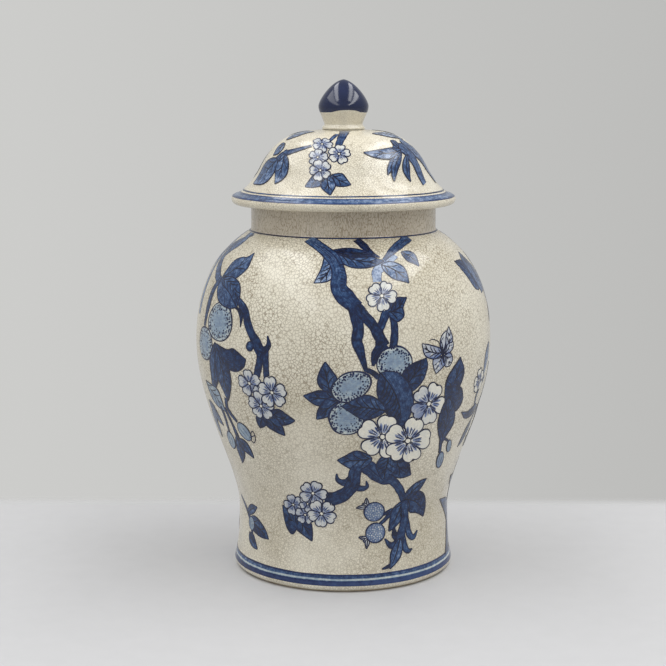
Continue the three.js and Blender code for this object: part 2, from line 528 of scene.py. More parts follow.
class Spray:
    """A painted group on one wall, turned to an azimuth. Sheets of each tone become one piece.

    thin is how much lighter than usual its washes are. Its lowest sheet lies SKIN off the wall, each
    level adds LAYER, and a sheet's edges go down to ROOT inside the wall."""

    SKIN = 0.05
    LAYER = 0.012
    ROOT = 0.25
    SPACING = 1.6
    OUTLINE = 0.9
    LINE_OVER = 0.5
    LINE_SHADE = 0.8
    DOT_OVER = 0.8

    def __init__(self, name, wall, body, azimuth, seed, thin=0.0):
        self.name = name
        self.thin = thin
        self.wall = wall
        self.body = body
        self.azimuth = azimuth
        self.chance = random.Random(seed)
        self.level = 0
        self.count = 0
        self.sheets = {}

    def raise_level(self):
        """Paints what follows over what came before."""
        self.level += 1

    def start_at(self, level):
        """Starts a group that lies apart from the last one, so that its layers stay low."""
        self.level = level

    def sheet(self, tone, flat, shade, grain, over=0.0, closed=False):
        """Lays a grid of flat (x, s) points on the wall. shade is the depth of colour, 0 to 1."""
        rows, columns = flat.shape[:2]
        self.count += 1
        lift = self.SKIN + (self.level + over) * self.LAYER
        spot, normal = self.wall.place(flat[..., 0], flat[..., 1], self.azimuth, lift)
        spot = spot.reshape(-1, 3)
        normal = normal.reshape(-1, 3)
        under = spot - normal * (lift + self.ROOT) * MM
        faces = rows_of_quads(rows, columns, closed)
        a, b, c = (spot[faces[0][k]] for k in range(3))
        if np.dot(np.cross(b - a, c - a), normal[0]) < 0:
            faces = faces[:, ::-1]
        ink = np.stack(
            [
                np.broadcast_to(shade - self.thin * (tone == "wash"), (rows, columns)).ravel(),
                grain[..., 0].ravel(),
                grain[..., 1].ravel() + 37.0 * self.count,
            ],
            -1,
        )
        kept = self.sheets.setdefault(tone, {"points": [], "normals": [], "ink": [], "faces": [], "n": 0})
        kept["points"] += [spot, under]
        kept["normals"] += [normal, normal]
        kept["ink"] += [ink, ink]
        kept["faces"].append(faces + kept["n"])
        kept["n"] += 2 * rows * columns

    def done(self):
        """Makes one piece from the sheets of each tone."""
        for tone, kept in self.sheets.items():
            slot, material = TONES[tone]
            mesh = bpy.data.meshes.new(f"{self.name}_{tone}")
            points = np.vstack(kept["points"])
            mesh.from_pydata(points.tolist(), [], np.vstack(kept["faces"]).tolist())
            mesh.update()
            mesh.shade_smooth()
            mesh.attributes.new("ink", "FLOAT_VECTOR", "POINT")
            ink = np.vstack(kept["ink"]).astype(np.float32)
            mesh.attributes["ink"].data.foreach_set("vector", ink.ravel())
            mesh.normals_split_custom_set_from_vertices(np.vstack(kept["normals"]).tolist())
            piece(mesh.name, mesh, material, self.body)

    # ---- strokes

    def stroke(self, points, width, over=LINE_OVER, tone="line", shade=LINE_SHADE, taper=(0.5, 0.3)):
        """A brush line through points, thinning towards its ends."""
        line, share = flowing(points, self.SPACING)
        swell = np.minimum(1, taper[0] + (1 - taper[0]) * share / 0.25)
        swell = np.minimum(swell, taper[1] + (1 - taper[1]) * (1 - share) / 0.25)
        half = width / 2 * swell
        side = sideways(line) * half[:, None]
        flat = np.stack([line - side, line + side], 1)
        along = np.arange(len(line))[:, None] * self.SPACING
        grain = np.stack(np.broadcast_arrays(along, np.array([[0.0, width]])), -1)
        self.sheet(tone, flat, shade, grain, over)

    def loop(self, points, width):
        """A closed brush line of slightly uneven width round a ring of points."""
        line = np.array(points, float)
        angle = np.linspace(0, math.tau, len(line), endpoint=False)
        uneven = 1 + 0.25 * np.sin(angle * 2 + self.chance.uniform(0, 6)) + 0.12 * np.sin(angle * 5)
        side = sideways(line, closed=True) * (width / 2 * uneven)[:, None]
        flat = np.stack([line - side, line + side], 1)
        along = angle[:, None] * 3
        grain = np.stack(np.broadcast_arrays(along, np.array([[0.0, width]])), -1)
        self.sheet("line", flat, self.LINE_SHADE, grain, self.LINE_OVER, closed=True)

    # ---- blobs

    def ring(self, centre, rx, ry, tilt, shape, steps):
        """Points round an oval, which shape(angle) may dent or lengthen."""
        angle = np.linspace(0, math.tau, steps, endpoint=False)
        size = shape(angle) if shape else 1.0
        return turned(centre, rx * size * np.cos(angle), ry * size * np.sin(angle), tilt)

    def blob(self, tone, centre, rx, ry, tilt=0.0, shape=None, shade=0.5, edge=0.2, outline=0.8, cells=0):
        """A filled oval, deeper in colour towards its edge, with a dark outline."""
        n = cells or max(3, int(max(rx, ry) / 1.3) + 2)
        u, v = np.meshgrid(np.linspace(-1, 1, n + 1), np.linspace(-1, 1, n + 1), indexing="ij")
        x = u * np.sqrt(1 - v**2 / 2)
        y = v * np.sqrt(1 - u**2 / 2)
        out = np.hypot(x, y)
        size = shape(np.arctan2(y, x)) if shape else 1.0
        x, y = x * size * rx, y * size * ry
        flat = turned(centre, x, y, tilt)
        self.sheet(tone, flat, shade + edge * out**3, np.stack([x, y], -1))
        if outline:
            steps = max(14, int(max(rx, ry) * 3.2))
            self.loop(self.ring(centre, rx, ry, tilt, shape, steps), outline)

    def dot(self, centre, radius, shade, tone="line"):
        u, v = np.meshgrid([-1.0, 0.0, 1.0], [-1.0, 0.0, 1.0], indexing="ij")
        x = u * np.sqrt(1 - v**2 / 2) * radius
        y = v * np.sqrt(1 - u**2 / 2) * radius * self.chance.uniform(0.8, 1.25)
        flat = np.stack([centre[0] + x, centre[1] + y], -1)
        self.sheet(tone, flat, shade, np.stack([x, y], -1), self.DOT_OVER)

    # ---- plants

    def blade(self, left, right, tone="wash", shade=(0.6, 0.7), veins=3, rib=True, ink=0.85):
        """A flat shape between two edge lines that meet at the tip, with midrib, veins and outline."""
        self.raise_level()
        rows = max(6, int(np.linalg.norm(np.diff(flowing(left, 2.0)[0], axis=0), axis=1).sum() / 1.7))
        edges = []
        for edge in (right, left):
            line, _ = flowing(edge, 0.5)
            at = np.linspace(0, len(line) - 1, rows + 1)
            edges.append(np.stack([np.interp(at, np.arange(len(line)), line[:, k]) for k in (0, 1)], -1))
        self.between(edges[0], edges[1], tone, shade, veins, rib, ink)

    def between(self, right, left, tone, shade, veins, rib, ink=0.85, hands=(-1, 1)):
        """Fills the space between two lines of as many points each. ink is the outline's shade."""
        spine = (right + left) / 2
        reach_out = (left - right) / 2
        half = np.linalg.norm(reach_out, axis=1)
        thin = half < 0.12
        reach_out[thin] = sideways(spine)[thin] * 0.12
        half = np.maximum(half, 0.12)
        rows = len(spine) - 1
        walked = np.concatenate([[0], np.cumsum(np.linalg.norm(np.diff(spine, axis=0), axis=1))])
        columns = max(4, int(half.max() / 0.9))
        v = np.linspace(-1, 1, columns + 1)
        flat = spine[:, None] + reach_out[:, None] * v[:, None]
        t = (walked / walked[-1])[:, None]
        darker = self.chance.choice((-0.07, 0.07)) if rib else 0.0
        depth = shade[0] + (shade[1] - shade[0]) * t + 0.1 * np.abs(v) ** 3 + darker * np.tanh(6 * v)
        grain = np.stack(np.broadcast_arrays(walked[:, None], half[:, None] * v), -1)
        self.sheet(tone, flat, depth, grain)
        for hand in (-1, 1):
            self.stroke(spine + reach_out * hand, self.OUTLINE, shade=ink, taper=(0.8, 0.8))
        if rib:
            self.stroke(spine[: int(rows * 0.88) + 1], 0.95, shade=1.0, taper=(0.9, 0.2))
        for k in range(veins):
            for hand in hands:
                start = 0.12 + 0.7 * (k + 0.25 * (hand > 0)) / max(veins, 1)
                i = int(start * rows)
                j = min(rows, int((start + 0.15) * rows) + 1)
                far = spine[j] + reach_out[j] * hand * 0.86
                middle = spine[i] * 0.5 + far * 0.5 + (spine[j] - spine[i]) * 0.14
                self.stroke([spine[i], middle, far], 0.8, shade=1.0, taper=(0.9, 0.3))

    def leaf(
        self,
        base,
        tip,
        width,
        bend=0.0,
        shade=(0.5, 0.65),
        veins=3,
        swell=0.42,
        tone="wash",
        hands=(-1, 1),
    ):
        """A pointed leaf whose midrib bends to the left by bend, with veins to the hands given."""
        self.raise_level()
        base, tip = np.array(base, float), np.array(tip, float)
        span = tip - base
        length = float(np.linalg.norm(span))
        left = np.array([-span[1], span[0]]) / length
        rows = max(6, int(length / 1.7))
        t = np.linspace(0, 1, rows + 1)
        spine = base + span * t[:, None] + left * (bend * 4 * t * (1 - t))[:, None]
        power = math.log(0.5) / math.log(swell)
        wobble = 1 + 0.06 * np.sin(t * 9 + self.chance.uniform(0, 6))
        half = np.maximum(0.12, width / 2 * np.sin(math.pi * t**power) ** 0.9 * wobble)
        side = sideways(spine) * half[:, None]
        self.between(spine - side, spine + side, tone, shade, veins, True, hands=hands)

    def branch(self, points, widths, shade=(0.7, 0.8), bark=1, outline=0.75):
        """A woody stroke of changing width with dark edges and broken lines of bark."""
        self.raise_level()
        line, share = flowing(points, 1.7)
        half = np.interp(share, np.linspace(0, 1, len(widths)), widths) / 2
        half = half * (1 + 0.05 * np.sin(share * 23 + self.chance.uniform(0, 6)))
        side = sideways(line)
        columns = max(2, int(max(widths) / 2.2))
        v = np.linspace(-1, 1, columns + 1)
        flat = line[:, None] + side[:, None] * (half[:, None] * v)[..., None]
        depth = shade[0] + (shade[1] - shade[0]) * share[:, None] + 0.12 * np.abs(v) ** 2
        along = np.arange(len(line))[:, None] * 1.7
        grain = np.stack(np.broadcast_arrays(along, half[:, None] * v), -1)
        self.sheet("wash", flat, depth, grain)
        for hand in (-1, 1):
            self.stroke(line + side * (half * hand)[:, None], outline, taper=(0.8, 0.6))
        for k in range(bark):
            place = self.chance.uniform(-0.5, 0.5)
            first = self.chance.randrange(0, max(1, len(line) // 3))
            last = min(len(line), first + max(4, int(len(line) * self.chance.uniform(0.35, 0.6))))
            if last - first > 3:
                run = slice(first, last)
                crease = line[run] + side[run] * (half[run] * place)[:, None]
                self.stroke(crease, 0.5, shade=0.75, taper=(0.3, 0.2))

    def petal(self, centre, radius, angle, stamens, dab, wash):
        """One rounded petal reaching out from a flower's centre, with brush dabs near its foot."""
        far = np.array([math.cos(angle), math.sin(angle)])
        across = np.array([-far[1], far[0]])
        middle = np.array(centre)
        notch = self.chance.uniform(0.88, 0.96)

        def edge(hand):
            wave = self.chance.uniform(0.97, 1.04)
            near = ((0.1, 0.02), (0.35, 0.23), (0.62 * wave, 0.41))
            lobe = ((0.86 * wave, 0.38), (1.0, 0.18), (notch, 0.0))
            return [middle + (far * out + across * side * hand) * radius for out, side in near + lobe]

        self.blade(edge(1), edge(-1), "white", (wash + 0.22, wash), 0, False, ink=0.8)
        for lean in (-0.55, 0.05, 0.6):
            start = middle + (far * 0.2 + across * lean * 0.2) * radius
            end = middle + (far * self.chance.uniform(0.48, 0.66) + across * lean * 0.42) * radius
            self.stroke([start, end], radius * 0.13, 0.4, "white", 0.9, (0.8, 0.2))
        for k in range(stamens):
            lean = (k - (stamens - 1) / 2) * 0.15
            start = middle + (far * 0.28 + across * lean * 0.55) * radius
            end = middle + (far * (0.28 + dab - abs(lean) * 0.6) + across * lean * 1.1) * radius
            self.stroke([start, end], max(0.5, radius * 0.055), 0.8, shade=0.55, taper=(0.5, 0.3))

    def flower(self, centre, radius, turn=90.0, stamens=3, dab=0.34, wash=0.1, veil=(0.0, 0.0)):
        """Five white petals round a small ringed eye. veil is a direction in degrees and its added wash."""
        foot = self.level
        for k in range(5):
            self.level = foot + k % 2 + k // 4
            angle = math.radians(turn + 72 * k + self.chance.uniform(-4, 4))
            veiled = wash + veil[1] * max(0.0, math.cos(angle - math.radians(veil[0])))
            self.petal(centre, radius * self.chance.uniform(0.95, 1.06), angle, stamens, dab, veiled)
        self.level = foot + 4
        eye = radius * 0.12
        self.blob("white", centre, eye, eye, shade=0.1, edge=0.0, outline=max(0.5, radius * 0.05), cells=2)

    def fruit(self, centre, rx, ry, tilt=0.0, dent=90.0, dots=60):
        """A pale round fruit with a shallow dent, speckled towards its outline."""
        self.raise_level()

        def shape(a):
            away = (a - math.radians(dent) + math.pi) % math.tau - math.pi
            return 1 - 0.09 * np.exp(-((away / 0.4) ** 2)) + 0.03 * np.cos(3 * away)

        self.blob("pale", centre, rx, ry, tilt, shape, 0.52, -0.4, 1.2)
        rings = ((0.87, 0.38, 0.72), (0.74, 0.34, 0.74), (0.6, 0.2, 0.62), (0.47, 0.08, 0.5))
        for out, share, size in rings:
            count = int(dots * share)
            for k in range(count):
                if self.chance.random() < 0.14:
                    continue
                a = math.tau * (k + self.chance.uniform(-0.32, 0.32)) / count
                far = out + self.chance.uniform(-0.06, 0.06)
                x = rx * float(shape(np.array(a))) * far * math.cos(a)
                y = ry * float(shape(np.array(a))) * far * math.sin(a)
                spot = turned(centre, x, y, tilt)
                self.dot(spot, size * self.chance.uniform(0.65, 1.25), shade=0.7)

    def berry(self, centre, radius, calyx):
        """A small mottled berry with an open, spiky calyx on the side given in degrees."""
        self.raise_level()
        a = math.radians(calyx)
        far = np.array([math.cos(a), math.sin(a)])
        across = np.array([-far[1], far[0]])
        middle = np.array(centre)
        for lean, size in ((-0.7, 1.6), (0.0, 1.5), (0.75, 1.65)):
            foot = middle + far * radius * 0.95
            tip = middle + far * radius * size + across * radius * lean
            self.leaf(foot, tip, radius * 0.42, shade=(0.4, 0.8), veins=0, swell=0.35, tone="white")
        self.raise_level()
        self.blob("pale", centre, radius, radius, shade=0.75, edge=0.2, outline=0.9)
        for k in range(int(radius * 6)):
            a = k * 2.4
            out = radius * 0.86 * math.sqrt((k + self.chance.uniform(0, 1)) / (radius * 6))
            spot = (centre[0] + out * math.cos(a), centre[1] + out * math.sin(a))
            size = self.chance.uniform(0.3, 0.6)
            self.dot(spot, size, shade=self.chance.uniform(0.45, 0.85), tone="white")

    def bud(self, centre, rx, ry, tilt=0.0, shade=0.35):
        """A closed oval bud with two brush lines down it."""
        self.raise_level()
        self.blob("pale", centre, rx, ry, tilt, shade=shade, edge=0.2, outline=0.75)
        t = math.radians(tilt + 90)
        ahead = np.array([math.cos(t), math.sin(t)])
        across = np.array([-ahead[1], ahead[0]])
        for lean in (-0.25, 0.3):
            near = np.array(centre) - ahead * ry * 0.6 + across * rx * lean
            far = np.array(centre) + ahead * ry * 0.5 + across * rx * lean * 1.2
            self.stroke([near, far], 0.5, 0.8, shade=0.5)

    def band(self, low, high, tone="wash", shade=0.8):
        """A painted ring between two heights up the wall, a little uneven as a brush leaves it."""
        self.raise_level()
        turn = np.linspace(0, math.tau, TURNS, endpoint=False)
        start = self.chance.uniform(0, 6)
        waver = 0.12 * np.sin(3 * turn + start) + 0.08 * np.sin(7 * turn + 2 * start)
        waver = waver + 0.05 * np.sin(19 * turn)
        columns = max(2, int((high - low) / 1.2))
        v = np.linspace(0, 1, columns + 1)
        s = low + (high - low) * v + waver[:, None] * (0.6 + 0.4 * v)
        x = turn[:, None] * np.interp(s, self.wall.s, self.wall.r)
        depth = shade + 0.1 * np.sin(2 * turn + start)[:, None] + 0.15 * np.abs(2 * v - 1) ** 3
        grain = np.stack(np.broadcast_arrays(turn[:, None] * 90, s * 2), -1)
        self.sheet(tone, np.stack([x, s], -1), depth, grain, closed=True)


# ---------------------------------------------------------------- pottery

def jar_shell():
    inside = BELLY - WALL
    waist = WAIST - WALL
    bore = NECK - NECK_WALL
    corner = NECK_Z - WALL
    outline = joined(
        (0, FOOT_TOP),
        (FOOT_INNER - 4, FOOT_TOP),
        bezier(
            (FOOT_INNER - 2, FOOT_TOP),
            (FOOT_INNER, FOOT_TOP),
            (FOOT_INNER + 0.4, 4),
            (FOOT_INNER + 0.8, 0.9),
            6,
        ),
        jar_outside(),
        (NECK - 0.4, NECK_Z + 0.1),
        (bore, NECK_Z + 0.1),
        bezier(
            (bore, corner),
            (bore + SHOULDER_PULL, corner - SHOULDER_DROP),
            (inside, BELLY_Z + BELLY_PULL_UP - WALL),
            (inside, BELLY_Z),
            40,
        ),
        bezier(
            (inside, BELLY_Z),
            (inside, BELLY_Z - BELLY_PULL_DOWN),
            (waist, WAIST_Z + WAIST_PULL),
            (waist, WAIST_Z),
            30,
        ),
        arc((waist - WALL, FLOOR_TOP + WALL), WALL, 0, -90, 8),
        (0, FLOOR_TOP),
    )
    lathe("jar_shell", outline, BODY_GLAZE, "jar", ("jar_body",))


def foot():
    inner = FOOT_INNER + 0.8
    outline = joined(
        (inner, 1.0), (inner + 0.5, 0.0), (FOOT_EDGE - 0.6, 0.0), (FOOT_EDGE, 0.5), (FOOT_EDGE, 1.0)
    )
    lathe("foot_rim", outline, BISCUIT, "jar", ("foot_ring",))


def neck():
    bore = NECK - NECK_WALL
    outline = joined(
        (bore, NECK_Z),
        bezier(
            (NECK + 0.5, NECK_Z),
            (NECK + 0.1, NECK_Z + 0.6),
            (NECK, NECK_Z + 1.0),
            (NECK, NECK_Z + 2.0),
            6,
        ),
        arc((NECK - 1.2, NECK_TOP - 1.2), 1.2, 0, 90, 5),
        arc((bore + 1.2, NECK_TOP - 1.2), 1.2, 90, 180, 5),
    )
    # The neck's glaze carries painted shade: it is darker than the body's where the lid shades the neck.
    lathe("neck_collar", outline, NECK_GLAZE_PAINTED_SHADE, "jar", ("neck_ring",))


def lid():
    opening = FLANGE - FLANGE_WALL
    ceiling = CROWN_Z - LID_WALL
    roll = (RIM - RIM_ROLL, LID_SEAT + RIM_ROLL)
    outline = joined(
        (0, ceiling),
        bezier((CROWN, ceiling), (38, ceiling - 1), (52, 303), (opening, SKIRT_Z - 4), 24),
        (opening, LID_SEAT),
        arc(roll, RIM_ROLL, -90, 0, 12),
        lid_outside(),
        (0, CROWN_Z),
    )
    lathe("lid_shell", outline, LID_GLAZE, "lid", ("lid_dome",))


def flange():
    inner = FLANGE - FLANGE_WALL
    outline = joined(
        (inner, FLANGE_TOP),
        arc((inner + 1.5, FLANGE_LOW + 1.5), 1.5, 180, 270, 5),
        arc((FLANGE - 1.5, FLANGE_LOW + 1.5), 1.5, 270, 360, 5),
        (FLANGE, FLANGE_TOP),
    )
    lathe("lid_seat_ring", outline, BISCUIT, "lid", ("lid_flange",))


def knob():
    """A cream stem on a slip collar, and a pointed bud of cobalt whose lower edge wavers."""
    flank = bezier((STEM, STEM_Z), (STEM + 1, STEM_Z + 4.2), (BUD, BUD_Z - 4), (BUD, BUD_Z), 40)
    foot_curve = bezier(
        (COLLAR + 0.2, KNOB_BASE + 0.5),
        (COLLAR + 0.3, KNOB_BASE + 1.8),
        (STEM + 0.4, STEM_Z - 1.6),
        (STEM, STEM_Z),
        8,
    )
    stem = joined((0, KNOB_BASE), (COLLAR, KNOB_BASE), foot_curve, flank[:-4] - (0.12, 0), (0, BUD_Z - 1))
    lathe("knob_stem", stem, STEM_GLAZE, "lid", ("knob",))
    upper = flank[flank[:, 1] > BUD_EDGE_Z]
    bud = joined(
        (0, BUD_EDGE_Z + 1.5),
        (upper[0][0] - 1.2, BUD_EDGE_Z + 0.5),
        upper[0] - (0.1, 0.25),
        upper,
        bezier((BUD, BUD_Z), (BUD, BUD_Z + 4.5), (8.5, TOP - 1), (0, TOP), 40),
    )
    made = lathe("knob_bud", bud, BUD_GLAZE, "lid")
    for corner in made.data.vertices:
        x, y, z = corner.co
        fade = max(0.0, 1 - (z / MM - BUD_EDGE_Z) / 4)
        turn = math.atan2(x, -y)
        corner.co.z = z + fade * MM * (0.45 * math.cos(turn) + 0.2 * math.sin(3 * turn + 1))


# ---------------------------------------------------------------- painting

def painted_bands():
    """A striped band at the foot, a line below the neck, and a band and a line at the lid's edge."""
    jar = Spray("jar_bands", JAR, "jar", 0, 3)
    up = JAR.way_up
    jar.band(up(5.1), up(12.8), shade=0.42)
    jar.band(up(4.9), up(8.1), "line", 0.34)
    jar.band(up(8.6), up(9.9), "pale", 0.12)
    jar.band(up(11.8), up(12.9), "line", 0.5)
    jar.band(JAR.s[-1] - 1.7, JAR.s[-1] - 0.1, "line", 0.5)
    jar.done()
    lid_paint = Spray("lid_bands", LID, "lid", 0, 5)
    lid_paint.band(2.2, 9.4, shade=0.36)
    lid_paint.band(8.6, 9.6, "line", 0.3)
    lid_paint.band(2.0, 3.0, "line", 0.3)
    lid_paint.band(11.0, 12.2, "wash", 0.6)
    lid_paint.done()


def upper_branch(spray):
    """The thick branch that comes down from the neck, its side leaves and one open flower."""
    # The pale stem and the pale leaf below it are painted very light: partly their own pale wash, partly a
    # painted highlight where the shoulder's reflection falls.
    spray.branch([(36, 251), (28, 243), (23, 238), (23, 230)], [7, 8, 7, 6], (0.0, 0.1), 1, 0.4)
    spray.branch([(49, 267), (37, 257), (28, 247)], [9, 7, 2.5], (0.5, 0.55), 2)
    spray.leaf((26, 243), (46, 228), 12, 2, (0.0, 0.45), 2)
    spray.leaf((41, 253), (55, 240), 8, 1.5, (0.4, 0.55), 1)
    # This half leaf is painted much lighter than the leaves round it, a painted highlight where the glaze's
    # reflection washes over it.
    spray.blade(
        [(-13, 250), (-15, 240), (-20, 229)],
        [(-5, 248), (-4, 238), (-10, 231), (-20, 229)],
        shade=(0.26, 0.12), veins=4,
    )
    spray.leaf((-4, 253), (28, 246), 13, -3, (0.38, 0.5), 4)
    spray.leaf((-9, 255), (24, 250), 8, 1, (0.85, 0.8), 2)
    spray.branch([(9, 267), (14, 260), (19, 253), (25, 249)], [5, 5, 3.5, 0.8], (0.85, 0.85))
    spray.branch([(30, 211), (26, 201), (24, 196), (25, 186)], [5.5, 5, 5, 6], (0.6, 0.8), 2)
    spray.branch([(33, 209), (35, 197), (34, 184)], [4, 4.5, 5.5], (0.6, 0.75), 2)
    trunk = [(-24, 267), (-13, 256), (-6, 247), (-3, 236), (-3, 226), (2, 219), (9, 212)]
    spray.branch(trunk, [8.5, 8.5, 9, 9, 11, 11.5, 10], (0.42, 0.68), 6)
    for k in range(10):
        low = 244 - 2.2 * k
        spray.stroke([(-2, low), (1.4, low - 1)], 0.5, 0.7, shade=0.9)
    spray.branch(
        [(6, 215), (9, 205), (10, 197), (9, 190), (11, 184), (15, 171)],
        [8, 7.5, 7, 7, 6, 2.5], (0.7, 0.8), 4,
    )
    spray.branch(
        [(8, 214), (14, 207), (20, 200), (24, 193), (28, 186)],
        [7, 6.5, 6, 7, 7], (0.75, 0.85), 3,
    )
    spray.branch([(28, 188), (22, 181), (20, 173)], [8, 6, 1.5], (0.85, 0.85))
    spray.blade(
        [(30, 212), (34, 218), (44, 218)],
        [(31, 206), (37, 202), (42, 206), (41, 211), (44, 218)],
        shade=(0.7, 0.6), veins=4,
    )
    spray.flower((26, 220), 10.8, 62, 4, 0.4, 0.26)


def fruit_cluster(spray):
    """Three speckled fruits and a flower among veined leaves, with a drooping leaf and two buds."""
    spray.fruit((35, 175), 12.6, 11, 0, 100, 110)
    spray.blade(
        [(40, 154), (40, 165), (46, 172), (59, 176)],
        [(40, 154), (47, 153), (56, 160), (60, 170), (59, 176)],
        shade=(0.65, 0.8), veins=4,
    )
    spray.leaf((-8, 154), (-12, 176), 12.5, 1, (0.55, 0.7), 3)
    spray.leaf((-4, 151), (-27, 152), 11, 1, (0.55, 0.65), 2)
    spray.leaf((-1, 150), (-18, 135), 12, -1, (0.5, 0.65), 2)
    spray.fruit((2, 136), 12, 12.6, 0, 200, 105)
    spray.fruit((5, 159), 14, 10, 24, 120, 105)
    spray.branch([(14, 171), (19, 169), (24, 165)], [2, 2.8, 3.5], (0.8, 0.8), 0)
    spray.leaf((25, 168), (40, 126), 25, 5, (0.6, 0.75), 8, hands=(-1,))
    spray.leaf((29, 141), (-1, 145), 17, -1, (0.6, 0.7), 5)
    spray.flower((62, 143), 15.5, 60, 4, 0.34, 0.12, (195, 0.6))
    spray.blade(
        [(84, 147), (77, 153), (79, 161), (91, 173)],
        [(84, 147), (91, 151), (96, 162), (91, 173)],
        shade=(0.75, 0.7), veins=2,
    )
    spray.blade(
        [(76, 154), (86, 153), (94, 150), (97, 142)],
        [(76, 136), (88, 133), (95, 137), (97, 142)],
        shade=(0.75, 0.8), veins=0, rib=False,
    )
    spray.blade(
        [(77, 108), (73, 117), (71.5, 128), (75, 140), (80, 146)],
        [(77, 108), (81, 114), (88.5, 124), (87, 136), (80, 146)],
        shade=(0.65, 0.75), veins=3,
    )
    spray.branch([(76, 116), (76, 108), (76, 101)], [2.6, 2.2, 2], (0.7, 0.7), 0)
    spray.branch([(78, 113), (82, 111), (85, 109)], [1.8, 1.6, 1.4], (0.7, 0.7), 0)
    spray.bud((86.5, 104.5), 2.8, 5.2)
    spray.bud((77.5, 94.5), 3.8, 6.8, -8, 0.55)


def lower_leaves(spray):
    """Leaves under the flowers, where the two lower twigs start."""
    spray.branch([(12, 101), (19, 95), (27, 87), (36, 84)], [9, 11, 9, 6], (0.6, 0.65), 2)
    spray.leaf((35, 103), (50, 87), 17, -2, (0.65, 0.75), 2)
    spray.leaf((20, 104), (-4, 103), 15, 1, (0.5, 0.6), 3)
    spray.leaf((32, 107), (27, 86), 16, 1, (0.55, 0.65), 4)


def flower_pair(spray):
    """The two largest flowers, which lie over the leaves and the twigs."""
    spray.flower((27, 121), 17, 78, 4, 0.36)
    spray.flower((46, 116), 18.5, 72, 4, 0.36)


def small_flowers(spray):
    """The left lower twig: two thorns, a ball of little flowers and a pair of leaves."""
    spray.branch([(8, 89), (2, 84.5), (-3.5, 86.5), (-4.5, 92)], [7, 5.5, 3, 0.6], (0.7, 0.8), 0)
    spray.branch([(7, 84), (11, 79.5), (16.5, 80.5), (16, 85.5)], [5, 4.6, 2.6, 0.6], (0.6, 0.7), 0)
    spray.branch(
        [(10, 98), (8, 92), (7, 84), (3, 77), (-4, 72), (-13, 70)],
        [7, 8, 9, 9, 10, 12], (0.65, 0.75), 3,
    )
    spray.blade(
        [(-33, 58), (-38, 61), (-45, 62)],
        [(-33, 58), (-33, 48), (-38, 41), (-43, 50), (-45, 62)],
        shade=(0.6, 0.7), veins=2,
    )
    spray.leaf((-36, 58), (-22, 38), 12, 1, (0.6, 0.7), 2)
    spray.flower((-36, 64), 8, 110, 2, 0.36, 0.5)
    spray.flower((-27, 57), 7.4, 20, 2, 0.36, 0.5)
    spray.flower((-25, 66), 6.5, 60, 2, 0.36, 0.5)
    spray.flower((-21, 75), 10, 70, 2, 0.38, 0.42)
    spray.flower((-15, 59), 10.5, 50, 3, 0.4, 0.36)


def berry_twig(spray):
    """The right lower twig: a fan of leaves, two berries and a long curling stem."""
    spray.branch([(30, 87), (36, 83), (41, 76), (45, 66)], [8, 6, 6, 5], (0.6, 0.6), 2)
    spray.branch([(36, 60), (31, 58), (28, 57)], [3, 2.4, 2], (0.75, 0.7), 0)
    spray.branch([(35, 58), (30, 53), (26, 50)], [3, 2.4, 2], (0.75, 0.7), 0)
    spray.leaf((44, 66), (33, 44), 11, 1, (0.5, 0.65), 1)
    spray.leaf((45, 66), (65, 81), 8.5, 1, (0.65, 0.6), 1)
    spray.leaf((46, 67), (64, 50), 17, 4, (0.7, 0.75), 1)
    spray.berry((22, 60), 7.4, 140)
    spray.berry((23, 44), 7.1, 215)
    spray.branch(
        [(46, 58), (48, 48), (50, 40), (54, 36.5), (58, 41)],
        [3, 4, 4.5, 3.4, 0.6], (0.5, 0.6), 0,
    )
    spray.branch([(44, 42), (46, 32), (49, 27.5), (53, 28.5)], [3, 4.4, 3.6, 0.6], (0.5, 0.6), 0)
    spray.branch([(43, 39), (38, 40.5), (37, 47)], [6, 5, 0.6], (0.8, 0.85), 0)
    spray.branch([(42, 36), (35, 33.5), (30, 39)], [5, 4.4, 0.6], (0.6, 0.7), 0)
    spray.branch([(45, 66), (46, 52), (43, 41), (41, 33)], [5, 6, 6, 7], (0.6, 0.6), 1)
    spray.branch([(36, 20), (32, 18.6), (28, 17.6)], [3, 1.8, 0.8], (0.85, 0.9), 0)
    spray.leaf((42, 38), (34, 17), 8.5, 1, (0.35, 0.45), 0)


def butterfly(spray):
    """A small butterfly with pointed, veined wings."""
    spray.blade(
        [(73, 178), (71, 185), (72.5, 190), (77, 193)],
        [(73, 178), (77, 184), (77, 189), (77, 193)],
        "white", (0.8, 0.4), 1, False,
    )
    spray.blade(
        [(74, 178), (76, 185), (76.5, 190), (79, 195.5)],
        [(74, 178), (80, 182), (83, 187), (79, 195.5)],
        "white", (0.95, 0.5), 3,
    )
    spray.blade(
        [(74, 178), (78, 183.5), (83.5, 184.5)],
        [(74, 178), (78, 176.8), (83, 180), (83.5, 184.5)],
        "white", (0.95, 0.5), 2,
    )
    spray.blade(
        [(73, 176), (65.5, 175), (64.8, 170.5), (67.4, 164)],
        [(73, 176), (76, 171), (74, 168.5), (67.4, 164)],
        "white", (0.95, 0.5), 3,
    )
    spray.blade(
        [(74, 176), (75, 171), (76, 168), (80.5, 168.4)],
        [(74, 176), (80, 177.5), (83, 173), (80.5, 168.4)],
        "white", (0.95, 0.5), 3,
    )
    spray.blade(
        [(73, 178), (69, 175.5), (64.6, 174.8), (58, 177.8), (55.5, 186)],
        [(73, 178), (70.7, 181.5), (62, 184.6), (55.5, 186)],
        "white", (0.95, 0.5), 4,
    )
    for spot in ((60, 181), (63.5, 177.8), (69, 171), (69.5, 167.8), (79, 172.5), (80.5, 181), (79.5, 188)):
        spray.blob("white", spot, 1.5, 0.9, 30, None, 0.3, 0.3, 0, 2)
    spray.raise_level()
    spray.stroke([(70.5, 184), (73.2, 178), (74, 171)], 2.2, 0.9, shade=0.95)
    spray.stroke([(70.7, 183), (69.4, 186), (64.6, 188.2), (60.8, 187.4)], 0.6, 0.9, shade=0.9)
    spray.stroke([(71, 184), (72.4, 187), (74.4, 189)], 0.5, 0.9, shade=0.9)


